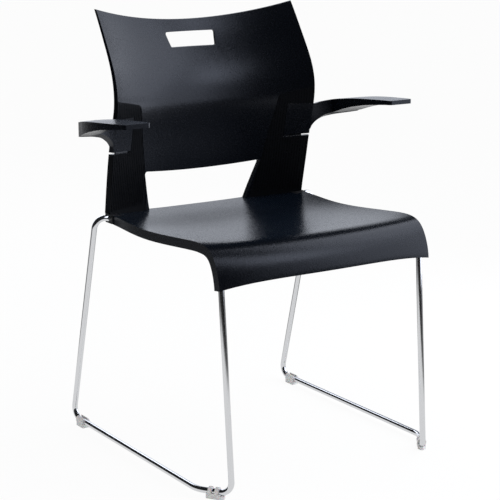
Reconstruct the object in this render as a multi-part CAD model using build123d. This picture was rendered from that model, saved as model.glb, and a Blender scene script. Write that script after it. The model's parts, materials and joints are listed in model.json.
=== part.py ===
"""Stacking armchair: a one-piece back and a one-piece seat on two bent side rods, with fixed arms.

Millimetres. X runs across the chair, the front of the chair faces -Y and Z is up. While it is
being built, Y is measured from the middle of the floor rails; at the end every piece is moved so
that the origin lies on the floor under the centre of the chair. Pieces of the +X side are made
first and mirrored for the other. The sitter's right arm is the one at -X.
"""

import os
from math import atan, cos, degrees, sin, sqrt

from build123d import *

# Working allowances
overrun = 10.0  # how far a cutter runs past what it cuts
seat_gap = 0.2  # between two pieces that rest on each other
slip_fit = 0.3  # round a steel bar in its moulded pocket
rod_clearance = 0.5  # round a rod where it passes through a moulding

# Side rods: one bent solid rod a side
rod_diameter = 11.0
glide_lift = 6.5  # underside of the rail above the floor
rail_half_width = 254.0
rail_half_length = 237.0
front_foot_half_width = 215.5
front_foot_reach = 292.5
front_leg_top_half_width = 218.0
front_leg_top_reach = 258.8
front_leg_top_height = 437.5  # where the front leg would meet the run under the seat
rear_leg_top_half_width = 253.5
rear_leg_top_setback = 124.5
stub_height = 439.0  # where the rear leg would meet its inward stub
stub_end_height = 427.5
stub_end_half_width = 198.0
run_end_height = 424.5
run_bend_height = 425.0  # the run under the seat falls to this bend
run_bend_half_width = 208.0
run_bend_setback = 20.0
run_end_half_width = 207.0
rail_bend_radius = 50.0
foot_bend_radius = 20.0
front_top_bend_radius = 47.0
rear_top_bend_radius = 19.0
run_bend_radius = 200.0

# Cross rods, dipped in the middle to clear the seat
cross_rod_height = 411.0
cross_rod_end_share = 0.86  # of the side rod's half width, where the dip begins
cross_rod_bend_radius = 14.0
front_cross_rod_reach = 150.0

# Seat shell
seat_rear_half_width = 221.5
seat_lip_half_width = 230.5
seat_setback = 178.0  # rear edge behind the middle of the rails
seat_reach = 278.0  # front lip at its corners
seat_crest_height = 448.4
seat_lip_foot_height = 377.0
seat_dish = 11.0
seat_bow = 13.0  # how far the middle of the lip stands in front of its corners
seat_panel = 5.0
seat_rim = 17.2
seat_rim_wall = 4.5
seat_rim_return = 6.5  # width of the rim's return along the rear and the lip
seat_corner_radius = 45.0
seat_boss_diameter = 20.0
dish_power = 4
# Side view of the seat, from just behind its rear edge to the lip: share of the depth, of the
# height from the lip's foot to the crest, of the dish and of the bow
seat_profile_shares = (
    (-0.030, 0.928, 1.29, 0.00),
    (0.000, 0.922, 1.25, 0.00),
    (0.171, 0.889, 1.05, 0.00),
    (0.347, 0.826, 1.00, 0.00),
    (0.544, 0.860, 0.95, 0.05),
    (0.741, 0.961, 0.75, 0.25),
    (0.851, 1.000, 0.50, 0.50),
    (0.917, 0.943, 0.20, 0.75),
    (0.957, 0.744, -0.15, 0.90),
    (0.982, 0.466, -0.45, 0.97),
    (1.000, 0.000, -0.85, 1.00),
)
seat_width_shares = (-1.0, -0.72, -0.4, 0.0, 0.4, 0.72, 1.0)
seat_sample_count = 15

# Back shell
back_half_width = 225.0
back_corner_half_width = 221.8
back_foot_height = 437.0
back_corner_height = 825.0
back_top_height = 795.5  # middle of the top edge
back_lumbar_setback = 81.4  # outer edge where it bends furthest forward
back_edge_travel = 82.6  # from there back to the top corner
back_sag = 68.3  # deepest hollow across the back
back_foot_thickness = 12.0
# Sections of the back from foot to top: share of the height, of the edge's travel, of the sag,
# of the foot's thickness and of the half width
back_section_shares = (
    (-0.085, 0.579, 0.817, 1.00, 0.988),
    (0.000, 0.511, 0.789, 1.00, 0.991),
    (0.098, 0.433, 0.757, 1.00, 0.994),
    (0.193, 0.346, 0.725, 1.00, 0.998),
    (0.317, 0.237, 0.747, 0.93, 1.000),
    (0.420, 0.125, 0.783, 0.85, 1.000),
    (0.539, 0.003, 0.830, 0.75, 0.997),
    (0.613, 0.012, 0.900, 0.67, 0.996),
    (0.678, 0.090, 0.965, 0.60, 0.994),
    (0.791, 0.361, 1.020, 0.49, 0.989),
    (0.869, 0.591, 0.990, 0.44, 0.987),
    (0.936, 0.794, 0.900, 0.40, 0.986),
    (1.045, 1.130, 0.760, 0.38, 0.985),
)
window_top_height = 503.6
window_corner_height = 511.7
window_top_half_width = 135.2
window_foot_half_width = 112.9
window_foot_height = 430.3
window_corner_radius = 5.0
slot_top_height = 772.3
slot_bottom_height = 743.8
slot_top_half_width = 56.8
slot_bottom_half_width = 51.0
slot_corner_radius = 4.0
foot_drop = 15.0  # how far the uncut uprights reach below the foot height

# Fluted patch down each side of the back: ridges that end short of the patch's own outline
flute_pitch = 5.0
flute_ridge_width = 2.6
flute_border = 1.8
flute_depth = 1.0
flute_top_height = 646.0  # at the inner top corner
flute_top_rise = 0.22  # rise of the top for each millimetre outward
flute_top_half_width = 158.0
flute_foot_half_width = 122.6
flute_foot_height = 443.0
flute_corner_radius = 9.0

# Arms: a root in the notch of the upright, a wing that curves out of it and a tapering pad
arm_root_bottom = 562.3  # at its outer end
arm_root_tilt = 0.06  # fall of its underside for each millimetre inward
arm_root_top = 624.6
arm_root_inner_half_width = 176.4
arm_slit = 3.7  # open slit under the root
arm_thickness = 13.0
arm_wing_width = 41.0  # from the upright to the inner side of the pad
arm_wing_setback = 77.8  # front of the wing where the pad begins
arm_wing_outer_bottom = 614.3  # front edge of the wing carried out to the side of the arm
arm_wing_outer_top = 636.0
arm_underside_slant = 0.55  # fall of the wing to the rear for each millimetre
arm_top_slant = 0.2
arm_pad_width = 58.0
arm_outer_setback = 44.0  # front of the wing carried out to the side of the arm
arm_rear_outer_inset = 5.0  # how far the outer side draws in at the rear of the pad
arm_tip_outer_inset = 6.5
arm_tip_inner_outset = 1.5
arm_tip_reach = 111.0
arm_tip_top = 648.0
arm_tip_thickness = 8.4
arm_pad_rear_top = 631.0
arm_pad_rear_bottom = 604.3
arm_pad_twist = 5.0  # underside of the pad lower along its outer side, at the rear
arm_tip_corner_radius = 5.0
# Front view of the wing's front edges: share of the width from the upright to the outer side, and
# of the height from the foot of the root (lower edge) or from its top (upper edge)
arm_lower_edge_shares = (
    (0.010, 0.244),
    (0.024, 0.335),
    (0.077, 0.475),
    (0.195, 0.648),
    (0.293, 0.745),
    (0.374, 0.790),
    (0.485, 0.838),
    (0.657, 0.892),
    (0.828, 0.940),
    (1.000, 1.000),
)
arm_upper_edge_shares = (
    (0.065, 0.000),
    (0.131, 0.210),
    (0.253, 0.404),
    (0.414, 0.561),
    (0.657, 0.746),
    (1.000, 1.000),
)
# Side view of the pad, rear to tip: share of the length, of the rise of its top and of the rise
# of its underside along the inner side
arm_pad_shares = (
    (0.000, 0.000, 0.000),
    (0.057, 0.100, 0.087),
    (0.163, 0.260, 0.270),
    (0.274, 0.420, 0.435),
    (0.380, 0.550, 0.562),
    (0.510, 0.670, 0.694),
    (0.640, 0.770, 0.803),
    (0.767, 0.860, 0.879),
    (0.894, 0.950, 0.955),
    (1.000, 1.000, 1.000),
)
arm_flange_thickness = 3.5
arm_flange_inner_half_width = 141.0
arm_flange_top = 618.0
arm_flange_bottom = 570.0

# Steel bars inside the uprights
support_half_width = 151.0  # centre line
support_width = 26.0
support_thickness = 4.0
support_top = 640.0
support_inset = 5.0  # middle of the bar behind the front of the upright
support_foot_length = 52.0
support_bend_radius = 4.0

# Fasteners and plates
plate_thickness = 3.0
plate_length = 34.0
plate_width = 36.0
plate_half_spacing = 80.0
seat_screw_diameter = 5.0
seat_screw_head_diameter = 10.0
seat_screw_head_height = 3.0
seat_screw_reach = 6.0  # above the plate
seat_screw_offset = 11.5  # beside the cross rod
back_screw_diameter = 4.0
back_screw_head_diameter = 8.0
back_screw_head_height = 2.5
back_screw_seat = 3.8  # underside of the head behind the middle of the bar
back_screw_heights = (478.0, 530.0)
arm_screw_heights = (582.0, 606.0)
hole_clearance = 0.25

# Stacking bumpers on the front cross rod
bumper_length = 16.0
bumper_wall = 2.6
bumper_half_spacing = 140.0
bumper_pad_height = 11.0  # below the middle of the rod

# Rear corner blocks
block_inner_half_width = 203.0
block_outer_half_width = 225.5
block_half_depth = 12.5
block_inner_bottom = 420.0
block_outer_bottom = 424.0

# Glides
glide_length = 26.0
glide_wall = 3.2
glide_mouth = 7.0
glide_foot_width = 15.0
glide_cradle_height = 10.0
rear_glide_setback = 198.0
front_glide_band = 6.0
front_glide_band_spacing = 13.0
front_glide_nose = 7.0
front_glide_nose_width = 5.0
front_glide_nose_height = 6.0

rod_radius = rod_diameter / 2
rail_height = glide_lift + rod_radius
seat_depth = seat_setback + seat_reach
arm_wing_half_width = back_half_width + arm_wing_width
arm_outer_half_width = arm_wing_half_width + arm_pad_width


def mirrored(solid):
    """The same piece on the other side of the chair."""
    return solid.mirror(Plane.YZ)


def box_between(low, high):
    """A box given by two corners."""
    size = [b - a for a, b in zip(low, high)]
    middle = [(a + b) / 2 for a, b in zip(low, high)]
    return Pos(*middle) * Box(*size)


def front_cut(outline, front, rear):
    """A face drawn in front view, made solid from y = front to y = rear."""
    return Pos(0, front, 0) * extrude(outline, rear - front, dir=(0, 1, 0))


def plan_prism(outline, low, high):
    """A face drawn in plan, made solid from z = low to z = high."""
    return Pos(0, 0, low) * extrude(outline, high - low, dir=(0, 0, 1))


def polyline_face(points):
    """A flat face inside straight lines."""
    return Face(Wire(Polyline(*points, close=True).edges()))


def filleted_face(points, radius):
    """A flat face inside straight lines with every corner rounded alike."""
    face = polyline_face(points)
    return face.fillet_2d(radius, face.vertices())


# Side rods


def side_rod_points():
    """Corners of the +X side rod before bending, from the run's end to the stub's end."""
    run_end = rear_leg_top_setback - rod_radius - seat_gap
    return [
        (run_end_half_width, run_end, run_end_height),
        (run_bend_half_width, run_bend_setback, run_bend_height),
        (front_leg_top_half_width, -front_leg_top_reach, front_leg_top_height),
        (front_foot_half_width, -front_foot_reach, rail_height),
        (rail_half_width, -rail_half_length, rail_height),
        (rail_half_width, rail_half_length, rail_height),
        (rear_leg_top_half_width, rear_leg_top_setback, stub_height),
        (stub_end_half_width, rear_leg_top_setback, stub_end_height),
    ]


def side_rod(radius=rod_radius):
    """The +X side rod, or a fatter copy of it for cutting."""
    bends = [
        run_bend_radius,
        front_top_bend_radius,
        foot_bend_radius,
        rail_bend_radius,
        foot_bend_radius,
        rear_top_bend_radius,
    ]
    path = FilletPolyline(*side_rod_points(), radius=bends)
    return sweep(Plane(origin=path @ 0, z_dir=path % 0) * Circle(radius), path=path)


def run_place(y):
    """Half width and height of the +X rod's straight run under the seat at y."""
    rear, front = side_rod_points()[1:3]
    share = (y - rear[1]) / (front[1] - rear[1])
    return [a + (b - a) * share for a, b in zip(rear, front)][::2]


def cross_rod(setback, end_half_width, end_height, radius=rod_radius):
    """A rod from one side rod to the other, dipped under the seat, with its ends coped."""
    level_half_width = end_half_width * cross_rod_end_share
    drop = end_height - cross_rod_height
    points = [
        (-end_half_width, setback, end_height),
        (-level_half_width + drop / 2, setback, cross_rod_height),
        (level_half_width - drop / 2, setback, cross_rod_height),
        (end_half_width, setback, end_height),
    ]
    path = FilletPolyline(*points, radius=cross_rod_bend_radius)
    rod = sweep(Plane(origin=path @ 0, z_dir=path % 0) * Circle(radius), path=path)
    cope = side_rod(rod_radius + seat_gap)
    return rod - cope - mirrored(cope)


# Seat


def seat_top_points(x):
    """Stations on the top of the seat in the plane at x, rear to front."""
    half_width = (seat_rear_half_width + seat_lip_half_width) / 2
    hollow = 1 - abs(x / half_width) ** dish_power
    swell = 1 - (x / half_width) ** 2
    rise = seat_crest_height - seat_lip_foot_height
    points = []
    for depth_share, rise_share, dish_share, bow_share in seat_profile_shares:
        y = seat_setback - depth_share * seat_depth - seat_bow * bow_share * swell
        z = seat_lip_foot_height + rise * rise_share - seat_dish * dish_share * hollow
        points.append(Vector(x, y, z))
    return points


def seat_line(x, drop, start=0.0, end=1.0):
    """A curve that lies at a given depth below the top of the seat in the plane at x."""
    top = Spline(*seat_top_points(x))
    points = []
    for i in range(seat_sample_count):
        u = start + (end - start) * i / (seat_sample_count - 1)
        tangent = top % u
        inward = Vector(0, -tangent.Z, tangent.Y)
        points.append((top @ u) + inward * drop)
    return Spline(*points)


def seat_slab(top_drop, bottom_drop, start=0.0, end=1.0):
    """The layer of the seat between two depths, wider than the seat itself."""
    half_width = seat_lip_half_width + overrun
    sections = []
    for share in seat_width_shares:
        upper = seat_line(share * half_width, top_drop, start, end)
        lower = seat_line(share * half_width, bottom_drop, start, end)
        outline = Wire([upper, Line(upper @ 1, lower @ 1), lower, Line(lower @ 0, upper @ 0)])
        sections.append(Face(outline))
    return loft(sections)


def seat_plan(inset=0.0):
    """Outline of the seat in plan, drawn in by inset, with its rear corners rounded."""
    front = -seat_reach - seat_bow - overrun
    points = [
        (-seat_rear_half_width + inset, seat_setback + inset),
        (-seat_lip_half_width + inset, front),
        (seat_lip_half_width - inset, front),
        (seat_rear_half_width - inset, seat_setback + inset),
    ]
    face = polyline_face(points)
    rear_corners = face.vertices().sort_by(Axis.Y)[-2:]
    return face.fillet_2d(seat_corner_radius, rear_corners)


def seat_prism(inset=0.0):
    """The seat's plan made solid through the height of the seat."""
    low = seat_lip_foot_height - seat_rim - overrun
    return plan_prism(seat_plan(inset), low, seat_crest_height + overrun)


def seat_surface_height(x, y):
    """Height of the top of the seat at a point in plan."""
    top = Spline(*seat_top_points(x))
    low, high = 0.0, 1.0
    for _ in range(30):
        middle = (low + high) / 2
        if (top @ middle).Y > y:
            low = middle
        else:
            high = middle
    return (top @ low).Z


def plate_centres():
    """Plan positions of the seat plates, as (name, x, y)."""
    return [
        ("front_left", plate_half_spacing, -front_cross_rod_reach),
        ("front_right", -plate_half_spacing, -front_cross_rod_reach),
        ("rear_left", plate_half_spacing, rear_leg_top_setback),
        ("rear_right", -plate_half_spacing, rear_leg_top_setback),
    ]


plate_bottom = cross_rod_height + rod_radius + seat_gap
plate_top = plate_bottom + plate_thickness


def seat_screw_places():
    """Plan positions of the seat screws, beside the cross rods."""
    return [(x, y + seat_screw_offset * (1 if y < 0 else -1)) for _, x, y in plate_centres()]


def post(x, y, radius, low, high):
    """An upright cylinder."""
    return Pos(x, y, (low + high) / 2) * Cylinder(radius, high - low)


def seat_screw_holes():
    """Clearance for the seat screws."""
    radius = seat_screw_diameter / 2 + hole_clearance
    top = plate_top + seat_screw_reach + seat_gap
    return [post(x, y, radius, plate_bottom - overrun, top) for x, y in seat_screw_places()]


def seat_shell(cutters):
    """The seat: a dished panel with a turned-down rim and four bosses underneath."""
    shell = seat_slab(0, seat_rim) & seat_prism()
    length = Spline(*seat_top_points(0)).length
    rear_turn = (seat_rim_return - seat_profile_shares[0][0] * seat_depth) / length
    lip_turn = seat_rim_return / length
    hollow = seat_slab(seat_panel, seat_rim + overrun, rear_turn, 1 - lip_turn)
    shell -= hollow & seat_prism(seat_rim_wall)
    for x, y in seat_screw_places():
        under = seat_surface_height(x, y) - seat_panel / 2
        shell += post(x, y, seat_boss_diameter / 2, plate_top + seat_gap, under)
    for cutter in (*cutters, *seat_screw_holes()):
        shell -= cutter
    return shell


def seat_plate(x, y):
    """A steel plate on top of a cross rod, drilled for its seat screw."""
    low = (x - plate_length / 2, y - plate_width / 2, plate_bottom)
    high = (x + plate_length / 2, y + plate_width / 2, plate_top)
    plate = box_between(low, high)
    for hole in seat_screw_holes():
        plate -= hole
    return plate


def seat_screws():
    """The four screws that hold the seat to its plates, from below."""
    screws = []
    for x, y in seat_screw_places():
        head_top = plate_bottom - seat_gap
        shank = post(x, y, seat_screw_diameter / 2, head_top, plate_top + seat_screw_reach)
        head_bottom = head_top - seat_screw_head_height
        screws.append(shank + post(x, y, seat_screw_head_diameter / 2, head_bottom, head_top))
    return screws


def corner_block(clearance=0.0):
    """The moulded block round the +X stub, or a fatter copy of it for cutting the seat."""
    inner = block_inner_half_width - clearance
    outer = block_outer_half_width + clearance * overrun / seat_gap
    top = seat_crest_height
    outline = polyline_face(
        [
            (inner, 0, block_inner_bottom - clearance * overrun / seat_gap),
            (outer, 0, block_outer_bottom - clearance * overrun / seat_gap),
            (outer, 0, top),
            (inner, 0, top),
        ]
    )
    depth = block_half_depth + clearance
    return front_cut(outline, rear_leg_top_setback - depth, rear_leg_top_setback + depth)


# Back


def back_section(shares):
    """One level of the back: (height, edge setback, sag, thickness, half width)."""
    height_share, travel_share, sag_share, thickness_share, width_share = shares
    return (
        back_foot_height + (back_corner_height - back_foot_height) * height_share,
        back_lumbar_setback + back_edge_travel * travel_share,
        back_sag * sag_share,
        back_foot_thickness * thickness_share,
        back_half_width * width_share,
    )


def back_face(shares):
    """Horizontal section of the back, a curved band with its ends square to the curve."""
    height, edge, sag, thickness, half_width = back_section(shares)
    radius = (half_width**2 + sag**2) / (2 * sag)
    centre = Vector(0, edge + sag - radius, height)
    corner = Vector(half_width, edge, height)
    other = Vector(-half_width, edge, height)
    middle = Vector(0, edge + sag, height)
    grow = (radius + thickness) / radius
    rear_corner = centre + (corner - centre) * grow
    rear_other = centre + (other - centre) * grow
    rear_middle = centre + (middle - centre) * grow
    outline = Wire(
        [
            ThreePointArc(other, middle, corner),
            Line(corner, rear_corner),
            ThreePointArc(rear_corner, rear_middle, rear_other),
            Line(rear_other, other),
        ]
    )
    return Face(outline)


def back_skin(shares):
    """Horizontal section of the air before the back and of as much of it as the flutes take."""
    height, edge, sag, _, half_width = back_section(shares)
    radius = (half_width**2 + sag**2) / (2 * sag)
    reach = half_width + overrun
    arcs = []
    for bow, side in ((radius - overrun, -1), (radius + flute_depth, 1)):
        arcs.append(
            ThreePointArc(
                *[(x, edge + sag - radius + sqrt(bow**2 - x**2), height)
                  for x in (side * reach, 0, -side * reach)]
            )
        )
    front, rear = arcs
    return Face(Wire([front, Line(front @ 1, rear @ 0), rear, Line(rear @ 1, front @ 0)]))


def back_level(height):
    """Edge setback, sag, thickness and half width of the back at a given height."""
    rows = [back_section(shares) for shares in back_section_shares]
    for low, high in zip(rows, rows[1:]):
        if height <= high[0]:
            break
    t = (height - low[0]) / (high[0] - low[0])
    return [a + (b - a) * t for a, b in zip(low, high)][1:]


def back_y(x, height, depth=0.0):
    """Where the surface that lies depth behind the front of the back is at x and height."""
    edge, sag, _, half_width = back_level(height)
    radius = (half_width**2 + sag**2) / (2 * sag)
    return edge + sag - radius + sqrt((radius + depth) ** 2 - x**2)


def back_body():
    """The back before it is cut to its outline."""
    return loft([back_face(shares) for shares in back_section_shares])


def back_outline():
    """Front view of the back's hollow top edge and of its foot, drawn wider than the back."""
    rise = back_corner_height - back_top_height
    radius = (back_corner_half_width**2 + rise**2) / (2 * rise)
    reach = back_half_width + overrun
    high = back_top_height + radius - sqrt(radius**2 - reach**2)
    low = back_foot_height - foot_drop
    top = ThreePointArc((-reach, 0, high), (0, 0, back_top_height), (reach, 0, high))
    rest = Polyline((reach, 0, high), (reach, 0, low), (-reach, 0, low), (-reach, 0, high))
    return Face(Wire([top, *rest.edges()]))


def window_outline():
    """Front view of the opening between the panel and the seat, run on below the uprights."""
    lean = (window_top_half_width - window_foot_half_width) / (
        window_corner_height - window_foot_height
    )
    low = back_foot_height - foot_drop - overrun
    low_half_width = window_top_half_width - lean * (window_corner_height - low)
    top = ThreePointArc(
        (-window_top_half_width, 0, window_corner_height),
        (0, 0, window_top_height),
        (window_top_half_width, 0, window_corner_height),
    )
    rest = Polyline(
        (window_top_half_width, 0, window_corner_height),
        (low_half_width, 0, low),
        (-low_half_width, 0, low),
        (-window_top_half_width, 0, window_corner_height),
    )
    face = Face(Wire([top, *rest.edges()]))
    corners = face.vertices().sort_by(Axis.Z)[-2:]
    return face.fillet_2d(window_corner_radius, corners)


def slot_outline():
    """Front view of the hand slot."""
    points = [
        (-slot_top_half_width, 0, slot_top_height),
        (-slot_bottom_half_width, 0, slot_bottom_height),
        (slot_bottom_half_width, 0, slot_bottom_height),
        (slot_top_half_width, 0, slot_top_height),
    ]
    return filleted_face(points, slot_corner_radius)


def flute_outline(border=0.0):
    """Front view of the +X fluted patch, drawn in by a border and run on past the side."""
    outer = back_half_width + overrun
    lean = (flute_top_half_width - flute_foot_half_width) / (flute_top_height - flute_foot_height)
    foot = flute_foot_height + border
    top = flute_top_height - border
    outer_top = top + flute_top_rise * (outer - flute_top_half_width)
    face = polyline_face(
        [
            (flute_foot_half_width + border * (1 + lean), 0, foot),
            (flute_top_half_width + border * (1 - lean), 0, top),
            (outer, 0, outer_top),
            (outer, 0, foot),
        ]
    )
    corner = face.vertices().sort_by(Axis.X)[1]
    return face.fillet_2d(flute_corner_radius - border, [corner])


def flute_cut():
    """What the flutes take from the front of the +X side of the back."""
    inner = flute_outline(flute_border)
    reach = back_half_width - flute_foot_half_width - 2 * flute_border
    half = flute_ridge_width / 2
    low = flute_foot_height
    high = back_corner_height
    ridges = []
    for i in range(int(reach / flute_pitch)):
        x = back_half_width - flute_pitch * (i + 0.5)
        bar = [(x - half, 0, low), (x + half, 0, low), (x + half, 0, high), (x - half, 0, high)]
        ridges.append(inner & polyline_face(bar))
    grooves = front_cut(flute_outline() - ridges, 0, back_lumbar_setback * 2)
    return grooves & loft([back_skin(shares) for shares in back_section_shares])


def arm_root_prism(gap=0.0, slit=0.0):
    """The part of the +X upright taken by the arm's root, or with its gaps the notch for it."""
    inner = arm_root_inner_half_width - gap
    outer = back_half_width + overrun * 2
    low = arm_root_bottom - slit
    outline = polyline_face(
        [
            (inner, 0, low + arm_root_tilt * (inner - back_half_width)),
            (outer, 0, low + arm_root_tilt * (outer - back_half_width)),
            (outer, 0, arm_root_top + gap),
            (inner, 0, arm_root_top + gap),
        ]
    )
    return front_cut(outline, 0, back_lumbar_setback * 2)


def back_shell(body, cutters):
    """The back: panel and uprights in one, cut for the window, the slot, the arms and the bars."""
    reach = back_lumbar_setback + back_edge_travel + back_sag + overrun
    shell = body & front_cut(back_outline(), 0, reach + overrun)
    shell -= front_cut(window_outline(), 0, reach)
    shell -= front_cut(slot_outline(), 0, reach)
    notch = arm_root_prism(seat_gap, arm_slit)
    shell -= notch
    shell -= mirrored(notch)
    shell -= seat_slab(-seat_gap, seat_rim * 2)
    for cutter in cutters:
        shell -= cutter
    flutes = flute_cut()
    return shell - flutes - mirrored(flutes)


# Steel bars and the screws of the back


def support_lean():
    """How far the front of the +X upright comes forward for each millimetre of height."""
    low = back_y(support_half_width, back_foot_height)
    high = back_y(support_half_width, support_top)
    return (low - high) / (support_top - back_foot_height)


def support_turn():
    """Angle of the upright across the chair, seen in plan."""
    step = support_width / 2
    near = back_y(support_half_width - step, back_foot_height)
    far = back_y(support_half_width + step, back_foot_height)
    return atan((near - far) / (2 * step))


def support_plane():
    """Plane across the +X bar: its x runs to the rear, square to the bar, and its y runs up."""
    turn = support_turn()
    setback = back_y(support_half_width, back_foot_height)
    origin = (support_half_width, setback, 0)
    return Plane(origin=origin, x_dir=(sin(turn), cos(turn), 0), z_dir=(cos(turn), -sin(turn), 0))


def support_middle(height):
    """Distance of the middle of the bar behind the plane's origin at a given height."""
    lean = support_lean() * cos(support_turn())
    return support_inset - lean * (height - back_foot_height)


def support_bar(clearance=0.0):
    """The +X bar, bent forward over the rear cross rod, or a fatter copy of it for cutting."""
    half = support_thickness / 2 + clearance
    low = plate_bottom - clearance
    inner_low = plate_bottom + support_thickness + clearance
    top = support_top + clearance
    heel = support_middle(plate_bottom)
    outline = polyline_face(
        [
            (heel - support_foot_length - clearance, low, 0),
            (heel + half, low, 0),
            (support_middle(top) + half, top, 0),
            (support_middle(top) - half, top, 0),
            (support_middle(inner_low) - half, inner_low, 0),
            (heel - support_foot_length - clearance, inner_low, 0),
        ]
    )
    outer_corner = outline.vertices().sort_by(Axis.Y)[:2].sort_by(Axis.X)[-1]
    outline = outline.fillet_2d(support_bend_radius + support_thickness, [outer_corner])
    face = support_plane() * outline
    return extrude(face, support_width / 2 + clearance, both=True)


def bar_rod(height, start, end, radius):
    """A cylinder square to the +X bar, from start to end behind the bar's middle."""
    lean = atan(support_lean() * cos(support_turn()))
    plane = support_plane()
    axis = plane.x_dir * cos(lean) + Vector(0, 0, sin(lean))
    middle = plane.origin + plane.x_dir * support_middle(height) + Vector(0, 0, height)
    base = Plane(origin=middle + axis * start, z_dir=axis)
    return extrude(base * Circle(radius), end - start)


def screw_in_bar(height, head_seat):
    """A screw driven from behind, its tip flush with the front of the +X bar."""
    shank = bar_rod(height, -support_thickness / 2, head_seat, back_screw_diameter / 2)
    head_end = head_seat + back_screw_head_height
    return shank + bar_rod(height, head_seat, head_end, back_screw_head_diameter / 2)


def screw_hole(height):
    """Clearance for the shank of a screw of the back or the arm."""
    start = -support_thickness / 2 - seat_gap
    return bar_rod(height, start, support_width, back_screw_diameter / 2 + hole_clearance)


def head_recess(height):
    """Clearance for the head of a back screw."""
    start = back_screw_seat - seat_gap
    return bar_rod(height, start, support_width, back_screw_head_diameter / 2 + hole_clearance)


def flange_rear():
    """Rear face of the arm's flange behind the middle of the bar."""
    middle_height = (arm_flange_top + arm_flange_bottom) / 2
    thickness = back_level(middle_height)[2]
    return thickness - support_inset + arm_flange_thickness


# Arms


def arm_slice(x, front_low, front_high, low, high):
    """An upright slice of the wing at x: its front edge leans from front_low to front_high."""
    return polyline_face(
        [
            (x, front_low, low),
            (x, front_low + arm_thickness, low),
            (x, front_high + arm_thickness, high),
            (x, front_high, high),
        ]
    )


def arm_band():
    """The wing before it is cut to its edges: a leaning band from the root to the outer side."""
    low, high = arm_root_bottom, arm_tip_top
    inside = back_half_width - overrun
    slices = [
        arm_slice(inside, back_y(inside, low, slip_fit), back_y(inside, high, slip_fit), low, high),
        arm_slice(
            back_half_width, back_y(back_half_width, low), back_y(back_half_width, high), low, high
        ),
        arm_slice(arm_wing_half_width, arm_wing_setback, arm_wing_setback, low, high),
        arm_slice(arm_outer_half_width, arm_outer_setback, arm_outer_setback, low, high),
    ]
    return loft(slices, ruled=True)


def wing_front(x, height):
    """Setback of the front of the wing at x, where it leaves the root at the given height."""
    root_front = back_y(back_half_width, height)
    if x < arm_wing_half_width:
        share = (x - back_half_width) / arm_wing_width
        return root_front + (arm_wing_setback - root_front) * share
    share = (x - arm_wing_half_width) / arm_pad_width
    return arm_wing_setback + (arm_outer_setback - arm_wing_setback) * share


def wing_side(shares, root_height, outer_height, front_height, slant, limit):
    """Everything between an edge of the wing and the height limit, slanting down to the rear."""
    width = arm_outer_half_width - back_half_width
    points = []
    for across, up in shares:
        x = back_half_width + width * across
        height = root_height + (outer_height - root_height) * up
        points.append(Vector(x, 0, height + slant * wing_front(x, front_height)))
    edge = Spline(*points)
    inside = back_half_width - overrun
    outside = arm_outer_half_width + overrun
    rest = Polyline(
        points[-1],
        Vector(outside, 0, points[-1].Z),
        Vector(outside, 0, limit),
        Vector(inside, 0, limit),
        Vector(inside, 0, points[0].Z),
        points[0],
    )
    outline = Face(Wire([edge, *rest.edges()]))
    depth = arm_wing_setback * 2
    return extrude(outline, depth * sqrt(1 + slant**2), dir=Vector(0, 1, -slant).normalized())


def arm_outer_side():
    """The outer side of the arm in plan, from the tip to the rear of the pad."""
    return Spline(
        (arm_outer_half_width - arm_tip_outer_inset, -arm_tip_reach, 0),
        (arm_outer_half_width - arm_tip_outer_inset / 6, -arm_tip_reach / 2, 0),
        (arm_outer_half_width, 0, 0),
        (arm_outer_half_width - arm_rear_outer_inset, arm_outer_setback + arm_thickness / 2, 0),
    )


def arm_wing():
    """The wing from the root to the outer side of the arm."""
    low, high = arm_root_bottom, arm_root_top
    floor, ceiling = low - arm_wing_setback, arm_tip_top + arm_wing_setback
    above = wing_side(
        arm_lower_edge_shares,
        low,
        arm_wing_outer_bottom,
        (low + high) / 2,
        arm_underside_slant,
        ceiling,
    )
    below = wing_side(
        arm_upper_edge_shares, high, arm_wing_outer_top, high, arm_top_slant, floor
    )
    edge = arm_outer_side()
    far = edge @ 1 + (edge % 1) * arm_wing_setback
    inside = back_half_width - overrun
    rest = Polyline(edge @ 1, far, (inside, far.Y, 0), (inside, -arm_tip_reach, 0), edge @ 0)
    plan = Face(Wire([edge, *rest.edges()]))
    return arm_band() & above & below & plan_prism(plan, floor, ceiling)


def arm_pad_profile(x, twist):
    """Side view of the pad at x, with its underside lowered by twist at the rear."""
    rear = arm_wing_setback
    length = rear + arm_tip_reach
    tip_bottom = arm_tip_top - arm_tip_thickness
    top_points = []
    bottom_points = []
    for along, top_share, bottom_share in arm_pad_shares:
        y = rear - length * along
        top = arm_pad_rear_top + (arm_tip_top - arm_pad_rear_top) * top_share
        bottom = arm_pad_rear_bottom + (tip_bottom - arm_pad_rear_bottom) * bottom_share
        top_points.append((x, y, top))
        bottom_points.append((x, y, bottom - twist * (1 - along) ** 2))
    top_line = Spline(*top_points)
    bottom_line = Spline(*bottom_points)
    ends = [Line(top_line @ 0, bottom_line @ 0), Line(top_line @ 1, bottom_line @ 1)]
    return Face(Wire([top_line, bottom_line, *ends]))


def arm_pad():
    """The pad: a tapering side profile, cut to its outline in plan."""
    inside = arm_wing_half_width - overrun
    outside = arm_outer_half_width + overrun
    past = arm_pad_twist * overrun / arm_pad_width
    profiles = [
        arm_pad_profile(inside, -past),
        arm_pad_profile(outside, arm_pad_twist + past),
    ]
    edge = arm_outer_side()
    rest = Polyline(
        edge @ 1,
        (arm_wing_half_width, arm_wing_setback + arm_thickness / 2, 0),
        (arm_wing_half_width - arm_tip_inner_outset, -arm_tip_reach, 0),
        edge @ 0,
    )
    plan = Face(Wire([edge, *rest.edges()]))
    tip_corners = plan.vertices().sort_by(Axis.Y)[:2]
    plan = plan.fillet_2d(arm_tip_corner_radius, tip_corners)
    return loft(profiles, ruled=True) & plan_prism(plan, arm_root_bottom, arm_tip_top + overrun)


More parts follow.
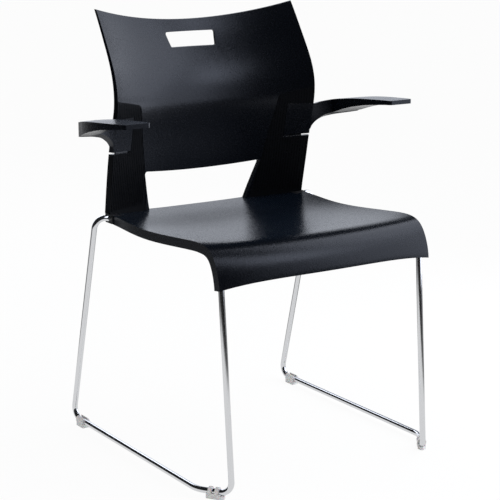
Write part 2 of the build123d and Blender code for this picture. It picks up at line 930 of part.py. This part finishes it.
def arm_flange(body):
    """The flange behind the upright, seated on the rear of the back."""
    low, high = arm_flange_bottom, arm_flange_top
    front = support_thickness / 2
    outline = polyline_face(
        [
            (support_middle(low) + front, low, 0),
            (support_middle(low) + flange_rear(), low, 0),
            (support_middle(high) + flange_rear(), high, 0),
            (support_middle(high) + front, high, 0),
        ]
    )
    slant = cos(support_turn())
    inward = (support_half_width - arm_flange_inner_half_width) / slant
    outward = (arm_root_inner_half_width + overrun - support_half_width) / slant
    face = support_plane() * outline
    flange = extrude(face, outward) + extrude(face, -inward)
    edge = arm_root_inner_half_width
    inside = box_between((0, 0, low - overrun), (edge, back_lumbar_setback * 2, high + overrun))
    return flange - (Pos(0, seat_gap, 0) * body & inside)


def arm(body):
    """The +X arm in one piece."""
    solid = (body & arm_root_prism()) + arm_wing() + arm_pad() + arm_flange(body)
    for height in arm_screw_heights:
        solid -= screw_hole(height)
    return solid


# Small pieces on the rods


def stacking_bumper():
    """A plastic sleeve with a pad under it, on the +X side of the front cross rod."""
    radius = rod_radius + seat_gap
    turn = Plane(
        origin=(bumper_half_spacing - bumper_length / 2, -front_cross_rod_reach, cross_rod_height),
        z_dir=(1, 0, 0),
    )
    sleeve = extrude(turn * Circle(radius + bumper_wall), bumper_length)
    low = (
        bumper_half_spacing - bumper_length / 2,
        -front_cross_rod_reach - radius,
        cross_rod_height - bumper_pad_height,
    )
    high = (
        bumper_half_spacing + bumper_length / 2,
        -front_cross_rod_reach + radius,
        cross_rod_height,
    )
    return sleeve + box_between(low, high) - extrude(turn * Circle(radius), bumper_length)


def glide_block(length, height):
    """The foot of a glide along Y, from the floor up to a given height."""
    half = glide_foot_width / 2
    return box_between((-half, -length / 2, 0), (half, length / 2, height))


def glide_tube(length, radius):
    """A cylinder round the rod along Y, centred on the glide."""
    base = Plane(origin=(0, -length / 2, rail_height), z_dir=(0, 1, 0))
    return extrude(base * Circle(radius), length)


def rear_glide():
    """The clip round the rear of the +X floor rail, open on top."""
    clip = glide_tube(glide_length, rod_radius + glide_wall)
    clip += glide_block(glide_length, rail_height)
    clip -= glide_tube(glide_length + overrun, rod_radius + seat_gap)
    mouth = glide_mouth / 2
    top = rail_height + rod_radius + glide_wall + overrun
    clip -= box_between((-mouth, -glide_length, rail_height), (mouth, glide_length, top))
    return Pos(rail_half_width, rear_glide_setback, 0) * clip


def front_glide():
    """The glide on the short diagonal at the front of the +X rail, with two bands over the rod."""
    clip = glide_block(glide_length, glide_cradle_height)
    for side in (-1, 1):
        band = glide_tube(front_glide_band, rod_radius + glide_wall)
        clip += Pos(0, side * front_glide_band_spacing / 2, 0) * band
    half = glide_foot_width / 2
    tip = front_glide_nose_width / 2
    front = -glide_length / 2
    nose = polyline_face(
        [
            (-half, front, 0),
            (-tip, front - front_glide_nose, 0),
            (tip, front - front_glide_nose, 0),
            (half, front, 0),
        ]
    )
    clip += plan_prism(nose, 0, front_glide_nose_height)
    clip -= glide_tube(glide_length + overrun, rod_radius + seat_gap)
    across = rail_half_width - front_foot_half_width
    along = front_foot_reach - rail_half_length
    x = (rail_half_width + front_foot_half_width) / 2
    y = -(front_foot_reach + rail_half_length) / 2
    return Pos(x, y, 0) * Rot(0, 0, -degrees(atan(across / along))) * clip


def both_sides(name, solid):
    """Add the +X piece and its mirror image to the nodes."""
    nodes[f"{name}_left"] = solid
    nodes[f"{name}_right"] = mirrored(solid)


nodes = {}


def main():
    """Build every node, move the chair to its origin and write each node to its own file."""
    os.makedirs("parts", exist_ok=True)
    both_sides("side_rod", side_rod())
    front_rod = (-front_cross_rod_reach, *run_place(-front_cross_rod_reach))
    nodes["front_cross_rod"] = cross_rod(*front_rod)
    nodes["rear_cross_rod"] = cross_rod(
        rear_leg_top_setback, stub_end_half_width - seat_gap, stub_end_height
    )
    fat_rod = side_rod(rod_radius + rod_clearance)
    fat_block = corner_block(seat_gap)
    fat_bar = support_bar(slip_fit)
    screw_holes = [screw_hole(height) for height in (*back_screw_heights, *arm_screw_heights)]
    head_recesses = [head_recess(height) for height in back_screw_heights]
    fat_cross_rod = cross_rod(
        rear_leg_top_setback, stub_end_half_width, stub_end_height, rod_radius + rod_clearance
    )
    cutters = [fat_rod, fat_block, fat_bar]
    cutters += [mirrored(cutter) for cutter in cutters]
    nodes["seat_shell"] = seat_shell([fat_cross_rod, *cutters])
    cutters = [fat_bar, *screw_holes, *head_recesses]
    body = back_body()
    nodes["back_shell"] = back_shell(body, cutters + [mirrored(cutter) for cutter in cutters])
    both_sides("arm", arm(body))
    bar = support_bar()
    for hole in screw_holes:
        bar -= hole
    both_sides("back_support", bar)
    block = corner_block() & seat_slab(0, seat_crest_height - block_inner_bottom + overrun)
    both_sides("rear_corner_block", block - side_rod(rod_radius + seat_gap))
    for name, x, y in plate_centres():
        nodes[f"seat_plate_{name}"] = seat_plate(x, y)
    nodes["seat_screws"] = Compound(seat_screws())
    screws = [screw_in_bar(height, back_screw_seat) for height in back_screw_heights]
    nodes["back_screws"] = Compound(screws + [mirrored(screw) for screw in screws])
    head_seat = flange_rear() + seat_gap
    screws = [screw_in_bar(height, head_seat) for height in arm_screw_heights]
    nodes["arm_screws"] = Compound(screws + [mirrored(screw) for screw in screws])
    both_sides("stacking_bumper", stacking_bumper())
    both_sides("rear_glide", rear_glide())
    both_sides("front_glide", front_glide())
    box = Compound(list(nodes.values())).bounding_box()
    shift = Pos(-(box.min.X + box.max.X) / 2, -(box.min.Y + box.max.Y) / 2, -box.min.Z)
    for name, shape in nodes.items():
        export_step(shift * shape, f"parts/{name}.step")


main()
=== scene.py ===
"""The look of the stacking armchair: black moulded shells and arms on bent chromed rods.

Metres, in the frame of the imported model: +Z up, the front of the chair faces -Y, and the origin
lies on the floor under the middle of the chair.
"""

import json
from math import cos, radians, sin

import bmesh
import bpy
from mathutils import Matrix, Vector


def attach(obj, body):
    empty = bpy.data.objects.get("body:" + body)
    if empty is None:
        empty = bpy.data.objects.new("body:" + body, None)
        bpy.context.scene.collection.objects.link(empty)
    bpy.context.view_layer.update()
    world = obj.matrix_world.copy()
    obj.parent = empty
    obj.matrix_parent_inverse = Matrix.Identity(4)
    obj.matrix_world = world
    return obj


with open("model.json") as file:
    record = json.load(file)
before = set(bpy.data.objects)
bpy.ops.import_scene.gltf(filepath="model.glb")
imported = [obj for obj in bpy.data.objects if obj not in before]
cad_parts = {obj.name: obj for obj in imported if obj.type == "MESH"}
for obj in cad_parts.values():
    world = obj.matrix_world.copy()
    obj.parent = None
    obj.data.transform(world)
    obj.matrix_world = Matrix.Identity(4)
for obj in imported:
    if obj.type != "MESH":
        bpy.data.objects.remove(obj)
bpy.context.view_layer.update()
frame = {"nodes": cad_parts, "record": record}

# The view
view_azimuth = radians(-33.38)
view_elevation = radians(13.0)
view_distance = 2.955
view_target = Vector((0.0, 0.0072, 0.371))
view_lens = 111.1  # millimetres on a sensor of 36 mm
sensor_width = 36.0

# The studio
floor_size = 30.0
floor_colour = (0.9, 0.9, 0.9)
floor_white_share = 0.93  # of what the camera sees of the floor
backdrop_white = 1.0
world_light = 0.7
light_tint = (0.94, 0.98, 1.08)
# Each soft box: its middle, the point that it is aimed at, its width and height, and its power
soft_boxes = {
    "side_box": ((1.4, -0.15, 1.45), (0.0, -0.15, 1.35), (1.2, 2.7), 21.5),
    "slant_box": ((1.4, -1.3, 1.45), (0.0, -0.6, 1.35), (1.15, 2.7), 14.0),
    "front_box": ((0.98, -1.95, 1.3), (0.0, 0.17, 1.0), (0.7, 2.4), 3.4),
    "top_box": ((1.05, -1.75, 2.3), (-0.16, -0.24, 0.42), (1.0, 1.1), 5.2),
    "rim_box": ((0.25, 2.4, 1.75), (0.0, 0.0, 0.2), (1.1, 1.0), 6.0),  # behind, for the rails' tops
}

# The studio as gloss shows it. Each pair runs from where a part begins to fade in or out to where
# it has done so.
dark_reflection = 0.012  # the unlit parts
gloss_backdrop_tint = (0.93, 0.975, 1.07)
gloss_backdrop = (0.45, 0.8)  # how far a direction points away from the camera
gloss_horizon = (0.30, 0.46)  # how far it points up
# The floor's glows that follow are painted light: emission that only glossy rays see, standing in
# for the lamps' light on the floor
painted_paper_glow = 0.72  # painted light: the floor round the chair glows this bright in gloss, in place of lit paper
painted_paper_middle = (-0.45, -0.45)
painted_paper_edge = (0.95, 1.5)
painted_side_glow = 0.3  # painted light: the floor under the soft boxes glows in gloss, brighter toward the side
painted_side_middle_along = 0.17  # where the back of the chair stands
painted_side_along = (-0.2, 0.2)
painted_side_edge = (1.9, 2.8)
painted_spill_glow = 0.2  # painted light: a dimmer glow in gloss on the floor behind the chair's right side, in place of spill
painted_spill_across = (-0.9, -0.2)
painted_spill_along = (-0.2, 0.6)
painted_spill_edge = (2.2, 3.4)

# Finishes
noise_middle = 0.5  # of the values of a noise
shell_colour = (0.0008, 0.0012, 0.0024)
# painted sheen and random tone: the bluer, lighter colour on the grain's crests and in the faint
# clouds
shell_sheen_and_cloud_colour = (0.0018, 0.0025, 0.0042)
shell_roughness = 0.24
shell_gloss = 0.36  # of the back and the arms
seat_gloss = 0.34
shell_gloss_tint = (0.92, 0.97, 1.1)
shell_bloom = 0.012  # the bluish bloom of the fine texture at flat angles
shell_bloom_tint = (0.2, 0.5, 1.0)
shell_grain = 0.0013  # size of one grain of the moulded texture
shell_grain_depth = 0.00008
shell_grain_share = 0.6  # of the grain in the colour, where the clouds have the rest
shell_mottle = 0.0028  # size of its coarser mottle
shell_mottle_depth = 0.00016
shell_mottle_roughness = 0.16
shell_clouds = 0.09  # size of its faint clouds
shell_cloud_roughness = 0.03
flute_colour = (0.0014, 0.0017, 0.0024)
flute_roughness = 0.5
flute_grain_roughness = 0.1
flute_gloss = 0.16
block_grain = shell_grain * 2
block_grain_depth = shell_grain_depth / 2
block_roughness = 0.38
block_grain_roughness = 0.06
chrome_colour = (0.86, 0.87, 0.89)
chrome_roughness = 0.09
chrome_haze = 0.03
chrome_haze_roughness = 0.03
steel_colour = (0.03, 0.03, 0.033)
steel_roughness = 0.45
steel_peel = 0.0012  # size of the orange peel in its coat
steel_peel_roughness = 0.1
screw_colour = (0.5, 0.5, 0.52)
screw_roughness = 0.28
screw_mottle = 0.002
screw_mottle_roughness = 0.12
glide_colour = (0.56, 0.555, 0.55)
glide_pale_colour = (0.8, 0.795, 0.79)
glide_roughness = 0.2
glide_mottle = 0.006
glide_mottle_roughness = 0.1
glide_depth_share = 0.15  # of the light that enters the plastic
glide_depth = 0.004

# The fluted patches of the back, as its front shows them
flute_foot = (0.1226, 0.443)  # half width and height of the inner edge's ends
flute_top = (0.158, 0.646)
flute_top_rise = 0.22
flute_corner_radius = 0.009
flute_blur = 0.0003
flute_facing = (0.0, 0.2)  # how squarely a surface faces the front

# The heel under each arm's root, which closes the slit behind
heel_inner = (0.1772, 0.1568, 0.1622)  # half width, front and rear
heel_middle = (0.194, 0.1513, 0.1568)
heel_outer = (0.214, 0.1428, 0.1486)
heel_low = 0.5560  # at its inner end
heel_high = 0.5593
heel_rise = 0.06


class Value:
    """A socket in a shader, with Python's operators as Math nodes."""

    def __init__(self, paint, socket):
        self.paint = paint
        self.socket = socket

    def _math(self, operation, other, swapped=False):
        values = (other, self) if swapped else (self, other)
        return self.paint.node("ShaderNodeMath", {"operation": operation}, dict(enumerate(values)))

    def __add__(self, other):
        return self._math("ADD", other)

    def __radd__(self, other):
        return self._math("ADD", other, swapped=True)

    def __sub__(self, other):
        return self._math("SUBTRACT", other)

    def __rsub__(self, other):
        return self._math("SUBTRACT", other, swapped=True)

    def __mul__(self, other):
        return self._math("MULTIPLY", other)

    def __truediv__(self, other):
        return self._math("DIVIDE", other)

    def most(self, other):
        """The larger of the two."""
        return self._math("MAXIMUM", other)

    def size(self):
        """The value without its sign."""
        return self._math("ABSOLUTE", 0)

    def stepped(self, low, high):
        """0 below low and 1 above high, smooth between them."""
        settings = {"interpolation_type": "SMOOTHSTEP", "clamp": True}
        values = {"Value": self, "From Min": low, "From Max": high}
        return self.paint.node("ShaderNodeMapRange", settings, values)


class Paint:
    """A material or world being built."""

    def __init__(self, owner):
        owner.use_nodes = True
        self.tree = owner.node_tree
        self.tree.nodes.clear()

    def node(self, kind, settings=None, values=None, output=0):
        """Adds a node: its settings first, then the values or links of its sockets."""
        made = self.tree.nodes.new(kind)
        for name, setting in (settings or {}).items():
            setattr(made, name, setting)
        for name, value in (values or {}).items():
            if isinstance(value, Value):
                self.tree.links.new(value.socket, made.inputs[name])
            else:
                made.inputs[name].default_value = value
        return Value(self, made.outputs[output])

    def place(self):
        """Where on the object the surface is, in metres."""
        return self.node("ShaderNodeTexCoord", output="Object")

    def noise(self, size, detail=2.0, roughness=0.5):
        """Noise with features of about the given size in metres."""
        values = {"Scale": 1 / size, "Detail": detail, "Roughness": roughness}
        return self.node("ShaderNodeTexNoise", None, {"Vector": self.place(), **values})

    def split(self, vector):
        """The x, y and z of a vector."""
        made = self.tree.nodes.new("ShaderNodeSeparateXYZ")
        self.tree.links.new(vector.socket, made.inputs[0])
        return [Value(self, socket) for socket in made.outputs]

    def length(self, across, along):
        """The length of a level vector."""
        square = across * across + along * along
        return self.node("ShaderNodeMath", {"operation": "SQRT"}, {0: square})

    def toward_back(self, across, along):
        """How far a level vector reaches away from the camera."""
        return along * cos(view_azimuth) + across * -sin(view_azimuth)

    def rays(self):
        """Whether a camera, a glossy or a transmission ray is traced."""
        kinds = ("Is Camera Ray", "Is Glossy Ray", "Is Transmission Ray")
        return [self.node("ShaderNodeLightPath", output=kind) for kind in kinds]

    def blend(self, share, first, second):
        """A colour between two colours."""
        values = {0: share, 6: first, 7: second}
        return self.node("ShaderNodeMix", {"data_type": "RGBA"}, values, output=2)

    def bump(self, height, depth=1.0):
        """A bump of the given depth in metres, or of a height that is in metres itself."""
        values = {"Height": height, "Distance": depth, "Strength": 1.0}
        return self.node("ShaderNodeBump", None, values)

    def principled(self, **values):
        """The plain shader of a finish."""
        named = {
            name.replace("_", " ").title().replace("Ior", "IOR"): value
            for name, value in values.items()
        }
        return self.node("ShaderNodeBsdfPrincipled", None, named)

    def surface(self, **values):
        """The shader and the output of a material."""
        self.node_output("ShaderNodeOutputMaterial", self.principled(**values))

    def node_output(self, kind, shader):
        """The output node of the given kind, with the shader on it."""
        made = self.tree.nodes.new(kind)
        self.tree.links.new(shader.socket, made.inputs["Surface"])


def opaque(colour):
    """A colour with its alpha."""
    return (*colour, 1.0)


def material(name):
    """A new material and the paint for it."""
    made = bpy.data.materials.new(name)
    return made, Paint(made)


# Finishes


def black_shader(paint, gloss):
    """Fine-textured black moulding, a little bluer and lighter in the crests of its grain, a
    painted sheen, and in its faint clouds, a random tone.
    """
    grain = paint.noise(shell_grain, detail=3.0, roughness=0.6)
    mottle = paint.noise(shell_mottle)
    clouds = paint.noise(shell_clouds)
    texture = grain * shell_grain_depth + mottle * shell_mottle_depth
    # painted sheen on the grain's crests, mixed with the faint clouds' random tone
    sheen_and_cloud_share = grain * shell_grain_share + clouds * (1 - shell_grain_share)
    from_middle = mottle - noise_middle
    cloudy_roughness = shell_roughness + clouds * shell_cloud_roughness
    return paint.principled(
        base_color=paint.blend(sheen_and_cloud_share, opaque(shell_colour), opaque(shell_sheen_and_cloud_colour)),
        roughness=cloudy_roughness + from_middle * shell_mottle_roughness,
        specular_ior_level=gloss,
        specular_tint=opaque(shell_gloss_tint),
        sheen_weight=shell_bloom,
        sheen_tint=opaque(shell_bloom_tint),
        normal=paint.bump(texture),
    )


def moulded_black(name, gloss):
    """The black of a moulding with the given gloss."""
    made, paint = material(name)
    paint.node_output("ShaderNodeOutputMaterial", black_shader(paint, gloss))
    return made


def flute_share(paint):
    """1 on the fluted patches of the back's front, 0 elsewhere."""
    across, _, up = paint.split(paint.place())
    _, facing, _ = paint.split(paint.node("ShaderNodeNewGeometry", output="Normal"))
    foot_across, foot_up = flute_foot
    top_across, top_up = flute_top
    lean = (top_across - foot_across) / (top_up - foot_up)
    outward = across.size()
    inside = outward - (up - foot_up) * lean - foot_across
    below = (outward - top_across) * flute_top_rise + top_up - up
    short_of_inside = (flute_corner_radius - inside).most(0)
    short_of_top = (flute_corner_radius - below).most(0)
    beyond = paint.length(short_of_inside, short_of_top)
    patch = 1 - beyond.stepped(flute_corner_radius - flute_blur, flute_corner_radius + flute_blur)
    return patch * (0 - facing).stepped(*flute_facing)


def fluted_black():
    """The black of the back, duller on its fluted patches."""
    made, paint = material("fluted_black")
    flutes = paint.principled(
        base_color=opaque(flute_colour),
        roughness=flute_roughness + paint.noise(shell_grain) * flute_grain_roughness,
        specular_ior_level=flute_gloss,
        specular_tint=opaque(shell_gloss_tint),
    )
    values = {0: flute_share(paint), 1: black_shader(paint, shell_gloss), 2: flutes}
    paint.node_output("ShaderNodeOutputMaterial", paint.node("ShaderNodeMixShader", None, values))
    return made


def block_black():
    """The smoother black of the small moulded pieces."""
    made, paint = material("block_black")
    grain = paint.noise(block_grain)
    paint.surface(
        base_color=paint.blend(grain, opaque(shell_colour), opaque(steel_colour)),
        roughness=block_roughness + grain * block_grain_roughness,
        normal=paint.bump(grain, block_grain_depth),
    )
    return made


def bright_chrome():
    """Chrome plate over drawn rod."""
    made, paint = material("bright_chrome")
    haze = paint.noise(chrome_haze, detail=3.0)
    paint.surface(
        base_color=opaque(chrome_colour),
        metallic=1.0,
        roughness=chrome_roughness + haze * chrome_haze_roughness,
    )
    return made


def coated_steel():
    """Black powder coat on the flat steel."""
    made, paint = material("coated_steel")
    peel = paint.noise(steel_peel, detail=1.0)
    paint.surface(
        base_color=opaque(steel_colour),
        roughness=steel_roughness + peel * steel_peel_roughness,
        normal=paint.bump(peel, shell_grain_depth),
    )
    return made


def zinc():
    """Zinc plate on the screws."""
    made, paint = material("zinc")
    mottle = paint.noise(screw_mottle)
    paint.surface(
        base_color=paint.blend(mottle, opaque(screw_colour), opaque(chrome_colour)),
        metallic=1.0,
        roughness=screw_roughness + mottle * screw_mottle_roughness,
    )
    return made


def cloudy_grey():
    """The cloudy grey plastic of the glides."""
    made, paint = material("cloudy_grey")
    mottle = paint.noise(glide_mottle, detail=3.0)
    paint.surface(
        base_color=paint.blend(mottle, opaque(glide_colour), opaque(glide_pale_colour)),
        roughness=glide_roughness + mottle * glide_mottle_roughness,
        subsurface_weight=glide_depth_share,
        subsurface_scale=glide_depth,
        normal=paint.bump(mottle, shell_grain_depth),
    )
    return made


def finish_nodes():
    """Gives each CAD node the finish that its slot names."""
    finishes = {
        "shell_plastic": moulded_black("seat_black", seat_gloss),
        "arm_plastic": moulded_black("arm_black", shell_gloss),
        "block_plastic": block_black(),
        "bumper_plastic": block_black(),
        "chrome": bright_chrome(),
        "steel": coated_steel(),
        "screw_steel": zinc(),
        "glide_plastic": cloudy_grey(),
    }
    for entry in frame["record"]["subparts"]:
        node = frame["nodes"][entry["node"]]
        for slot in node.material_slots:
            slot.material = finishes[entry["material_slot"]]
    for slot in frame["nodes"]["back_shell"].material_slots:
        slot.material = fluted_black()
    return finishes


# Pieces


def slit_heel(name, side, finish):
    """The heel that closes the slit under an arm's root behind, on the given side."""
    plan = [(half, front) for half, front, _ in (heel_inner, heel_middle, heel_outer)]
    plan += [(half, rear) for half, _, rear in (heel_outer, heel_middle, heel_inner)]
    solid = bmesh.new()
    rings = []
    for height in (heel_low, heel_high):
        rise = [height + heel_rise * (half - heel_inner[0]) for half, _ in plan]
        rings.append([solid.verts.new((side * half, y, z)) for (half, y), z in zip(plan, rise)])
    solid.faces.new(rings[0])
    solid.faces.new(rings[1])
    for i in range(len(plan)):
        j = (i + 1) % len(plan)
        solid.faces.new((rings[0][i], rings[0][j], rings[1][j], rings[1][i]))
    bmesh.ops.recalc_face_normals(solid, faces=solid.faces)
    mesh = bpy.data.meshes.new(name)
    solid.to_mesh(mesh)
    solid.free()
    mesh.materials.append(finish)
    heel = bpy.data.objects.new(name, mesh)
    bpy.context.collection.objects.link(heel)
    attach(heel, "root")


# The studio


def studio_floor():
    """A floor that the camera sees nearly white, with the chair's shadow on it, and that glossy
    rays see glowing with painted light round the chair, under the soft boxes and behind the chair's
    right side.
    """
    bpy.ops.mesh.primitive_plane_add(size=floor_size)
    floor = bpy.context.object
    floor.name = "studio_floor"
    made, paint = material("studio_floor")
    lit = paint.node("ShaderNodeBsdfDiffuse", None, {"Color": opaque(floor_colour)})
    across, along, _ = paint.split(paint.place())
    middle_across, middle_along = painted_paper_middle
    reach = paint.length(across - middle_across, along - middle_along)
    # painted light: the floor's glow round the chair in gloss
    painted_paper_light = (1 - reach.stepped(*painted_paper_edge)) * painted_paper_glow
    behind = (paint.toward_back(across, along) / reach).stepped(*gloss_backdrop) * backdrop_white
    camera, gloss, through = paint.rays()
    # painted light: the dimmer glow behind the chair's right side
    left = 1 - across.stepped(*painted_spill_across)
    painted_spill_light = left * along.stepped(*painted_spill_along) * (1 - reach.stepped(*painted_spill_edge)) * painted_spill_glow
    # painted light: the glow under the soft boxes, brighter toward the side
    from_back = along - painted_side_middle_along
    share_across = across.most(0) / paint.length(across, from_back)
    front = 1 - from_back.stepped(*painted_side_along)
    side = share_across * share_across * front * (1 - reach.stepped(*painted_side_edge)) * painted_side_glow
    # painted light: what glossy rays see of the floor, with the white backdrop behind and the dark
    # of the unlit parts
    painted_floor_in_gloss = painted_paper_light.most(behind).most(painted_spill_light).most(side).most(dark_reflection)
    strength = camera.most(through) * backdrop_white + gloss * painted_floor_in_gloss
    backdrop_and_painted_glow = paint.node("ShaderNodeEmission", None, {"Strength": strength})
    share = (camera.most(through) * floor_white_share).most(gloss)
    mixed = paint.node("ShaderNodeMixShader", None, {0: share, 1: lit, 2: backdrop_and_painted_glow})
    paint.node_output("ShaderNodeOutputMaterial", mixed)
    floor.data.materials.append(made)


def studio_world():
    """White to the camera, and in gloss white behind the chair and dimmer in front of it."""
    world = bpy.data.worlds.new("studio_world")
    bpy.context.scene.world = world
    paint = Paint(world)
    across, along, up = paint.split(paint.node("ShaderNodeTexCoord", output="Generated"))
    behind = paint.toward_back(across, along).stepped(*gloss_backdrop)
    low = 1 - up.stepped(*gloss_horizon)
    gloss_level = dark_reflection + behind * low * (backdrop_white - dark_reflection)
    camera, gloss, through = paint.rays()
    seen = camera.most(through)
    plain = 1 - seen.most(gloss)
    strength = plain * world_light + seen * backdrop_white + gloss * gloss_level
    colour = paint.blend(gloss, opaque((1.0, 1.0, 1.0)), opaque(gloss_backdrop_tint))
    shader = paint.node("ShaderNodeBackground", None, {"Color": colour, "Strength": strength})
    paint.node_output("ShaderNodeOutputWorld", shader)


def soft_box(name, place, aim, size, power):
    """A rectangular light of the given width and height, aimed at a point."""
    data = bpy.data.lights.new(name, "AREA")
    data.shape = "RECTANGLE"
    data.size, data.size_y = size
    data.energy = power
    data.color = light_tint
    lamp = bpy.data.objects.new(name, data)
    lamp.location = place
    lamp.rotation_euler = (Vector(aim) - lamp.location).to_track_quat("-Z", "Y").to_euler()
    bpy.context.collection.objects.link(lamp)


def studio_camera():
    """The camera at the photograph's viewing angle."""
    data = bpy.data.cameras.new("camera")
    data.lens = view_lens
    data.sensor_width = sensor_width
    camera = bpy.data.objects.new("camera", data)
    level = view_distance * cos(view_elevation)
    height = view_distance * sin(view_elevation)
    away = Vector((level * sin(view_azimuth), -level * cos(view_azimuth), height))
    camera.location = view_target + away
    camera.rotation_euler = (-away).to_track_quat("-Z", "Y").to_euler()
    bpy.context.collection.objects.link(camera)
    bpy.context.scene.camera = camera


finishes = finish_nodes()
slit_heel("slit_heel_right", -1, finishes["arm_plastic"])
slit_heel("slit_heel_left", 1, finishes["arm_plastic"])
studio_floor()
studio_world()
for name, box in soft_boxes.items():
    soft_box(name, *box)
studio_camera()
bpy.context.scene.view_settings.view_transform = "Standard"
